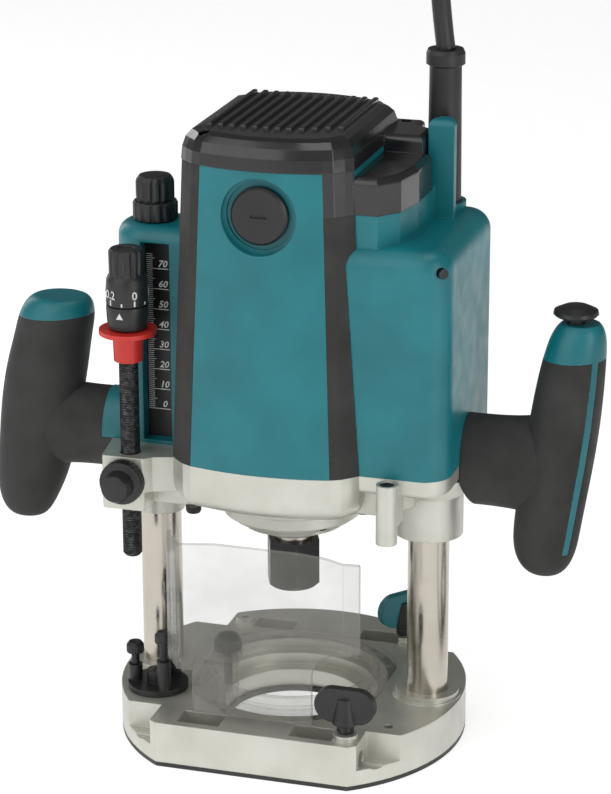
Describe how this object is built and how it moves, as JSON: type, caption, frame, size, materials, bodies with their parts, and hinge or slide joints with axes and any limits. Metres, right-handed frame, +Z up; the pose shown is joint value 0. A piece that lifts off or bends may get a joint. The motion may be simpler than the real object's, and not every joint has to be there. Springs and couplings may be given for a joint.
{
  "type": "plunge router",
  "caption": "Two-handled electric plunge router: motor head sliding on twin columns over a round base, with depth rod, stop turret, clear chip guard and collet spindle.",
  "frame": {"origin": "on the spindle axis, in the plane of the sole's lower face, which is the work surface", "axes": "+Z up along the spindle, +X towards the right-hand handle with the switch, -Y the front with the chip shield"},
  "size_m": [0.5108, 0.2019, 0.4674],
  "materials": {
    "cast": "satin casting",
    "steel": "ground and polished",
    "dark_steel": "blackened steel",
    "iron": "laminated iron",
    "copper": "copper wire",
    "brass": "machined brass",
    "teal": "moulded, fine grain",
    "black_plastic": "moulded, fine grain",
    "black_gloss": "glossy moulding",
    "grip_rubber": "soft-touch rubber",
    "red": "moulded",
    "clear": "clear moulding",
    "sole": "phenolic sheet",
    "cord": "cord sheath",
    "scale": "printed plate"
  },
  "bodies": {
    "base": {"base_casting": "cast", "sole_plate": "sole", "base_screws": "dark_steel", "column_left": "steel", "column_right": "steel", "limit_stud": "dark_steel", "clamp_springs": "steel", "deflector_base": "clear", "deflector_shield": "clear", "plunge_spring": "steel", "cord_lead": "cord", "cord_coil": "cord", "plug": "black_plastic"},
    "motor_unit": {"motor_bracket": "cast", "bearing_retainer": "cast", "bracket_screws": "dark_steel", "motor_housing": "teal", "corner_trims": "grip_rubber", "brush_caps": "black_plastic", "brush_holders": "brass", "carbon_brushes": "iron", "left_tower": "teal", "scale_plate": "scale", "side_cover": "teal", "top_cover": "black_gloss", "cover_screws": "dark_steel", "stator": "iron", "bearings": "steel", "control_module": "black_plastic", "cord_clamp": "black_plastic", "cord_guard": "cord", "handle_left_grip": "grip_rubber", "handle_left_cap": "teal", "handle_right_grip": "grip_rubber", "handle_right_cap": "teal", "handle_right_pad": "grip_rubber"},
    "spindle": {"spindle_shaft": "steel", "collet": "steel", "armature_core": "iron", "armature_windings": "copper", "commutator": "copper", "cooling_fan": "black_plastic"},
    "collet_nut": {"collet_nut": "dark_steel"},
    "depth_rod": {"depth_rod": "dark_steel"},
    "depth_knob": {"depth_knob": "black_plastic"},
    "depth_pointer": {"depth_pointer": "red"},
    "rod_lock_knob": {"rod_lock_knob": "black_plastic"},
    "limit_knob": {"limit_knob": "black_plastic"},
    "stop_turret": {"stop_turret": "black_plastic"},
    "stop_screw_low": {"stop_screw_low": "dark_steel"},
    "stop_screw_middle": {"stop_screw_middle": "dark_steel"},
    "stop_screw_high": {"stop_screw_high": "dark_steel"},
    "clamp_front": {"clamp_screw_front": "black_plastic"},
    "clamp_rear": {"clamp_screw_rear": "black_plastic", "clamp_wing_rear": "teal"},
    "deflector_knob": {"deflector_knob": "black_plastic"},
    "lock_off_button": {"lock_off_button": "black_plastic"},
    "switch_trigger": {"switch_trigger": "black_plastic"},
    "plunge_lock_lever": {"plunge_lock_lever": "black_plastic"},
    "shaft_lock_button": {"shaft_lock_button": "black_plastic"}
  },
  "joints": [
    {"name": "plunge", "type": "slide", "parent": "base", "child": "motor_unit", "axis": [0, 0, 1], "range_m": [-0.043, 0], "stiffness_N_per_m": 1500, "springref_m": 0.06, "deforming": ["plunge_spring", "cord_lead"]},
    {"name": "spindle_spin", "type": "hinge", "parent": "motor_unit", "child": "spindle", "pos_m": [0, 0, 0.15], "axis": [0, 0, 1], "continuous": true},
    {"name": "collet_nut_turn", "type": "hinge", "parent": "spindle", "child": "collet_nut", "pos_m": [0, 0, 0.084], "axis": [0, 0, 1], "continuous": true},
    {"name": "depth_rod_slide", "type": "slide", "parent": "motor_unit", "child": "depth_rod", "axis": [0, 0, 1], "range_m": [0, 0.045]},
    {"name": "depth_knob_turn", "type": "hinge", "parent": "depth_rod", "child": "depth_knob", "pos_m": [-0.0715, -0.0318, 0.23], "axis": [0, 0, 1], "continuous": true},
    {"name": "depth_pointer_slide", "type": "slide", "parent": "depth_rod", "child": "depth_pointer", "axis": [0, 0, 1], "range_m": [-0.045, 0]},
    {"name": "rod_lock_turn", "type": "hinge", "parent": "motor_unit", "child": "rod_lock_knob", "pos_m": [-0.0715, -0.045, 0.1335], "axis": [0, -1, 0], "continuous": true},
    {"name": "limit_knob_turn", "type": "hinge", "parent": "base", "child": "limit_knob", "pos_m": [-0.068, 0, 0.26], "axis": [0, 0, 1], "continuous": true},
    {"name": "turret_turn", "type": "hinge", "parent": "base", "child": "stop_turret", "pos_m": [-0.0605, -0.0298, 0.024], "axis": [0, 0, 1], "range_deg": [-60, 60]},
    {"name": "stop_screw_low_turn", "type": "hinge", "parent": "stop_turret", "child": "stop_screw_low", "pos_m": [-0.07176, -0.03078, 0.03], "axis": [0, 0, 1], "continuous": true},
    {"name": "stop_screw_middle_turn", "type": "hinge", "parent": "stop_turret", "child": "stop_screw_middle", "pos_m": [-0.05402, -0.03906, 0.03], "axis": [0, 0, 1], "continuous": true},
    {"name": "stop_screw_high_turn", "type": "hinge", "parent": "stop_turret", "child": "stop_screw_high", "pos_m": [-0.05572, -0.01956, 0.03], "axis": [0, 0, 1], "continuous": true},
    {"name": "clamp_front_turn", "type": "hinge", "parent": "base", "child": "clamp_front", "pos_m": [0.044, -0.06, 0.03], "axis": [0, 0, 1], "continuous": true},
    {"name": "clamp_rear_turn", "type": "hinge", "parent": "base", "child": "clamp_rear", "pos_m": [0.04, 0.06, 0.03], "axis": [0, 0, 1], "continuous": true},
    {"name": "deflector_knob_turn", "type": "hinge", "parent": "base", "child": "deflector_knob", "pos_m": [-0.0185, -0.0465, 0.05], "axis": [0, 0, 1], "continuous": true},
    {"name": "lock_off_press", "type": "slide", "parent": "motor_unit", "child": "lock_off_button", "axis": [0, 0, -1], "range_m": [0, 0.0025], "stiffness_N_per_m": 400, "springref_m": -0.005},
    {"name": "trigger_squeeze", "type": "slide", "parent": "motor_unit", "child": "switch_trigger", "axis": [0.5, -0.866, 0], "range_m": [0, 0.005], "stiffness_N_per_m": 600, "springref_m": -0.006},
    {"name": "plunge_lock_turn", "type": "hinge", "parent": "motor_unit", "child": "plunge_lock_lever", "pos_m": [-0.066, 0.03, 0.128], "axis": [0, 1, 0], "range_deg": [-25, 25]},
    {"name": "shaft_lock_press", "type": "slide", "parent": "motor_unit", "child": "shaft_lock_button", "axis": [0, -1, 0], "range_m": [0, 0.0035], "stiffness_N_per_m": 400, "springref_m": -0.005}
  ]
}
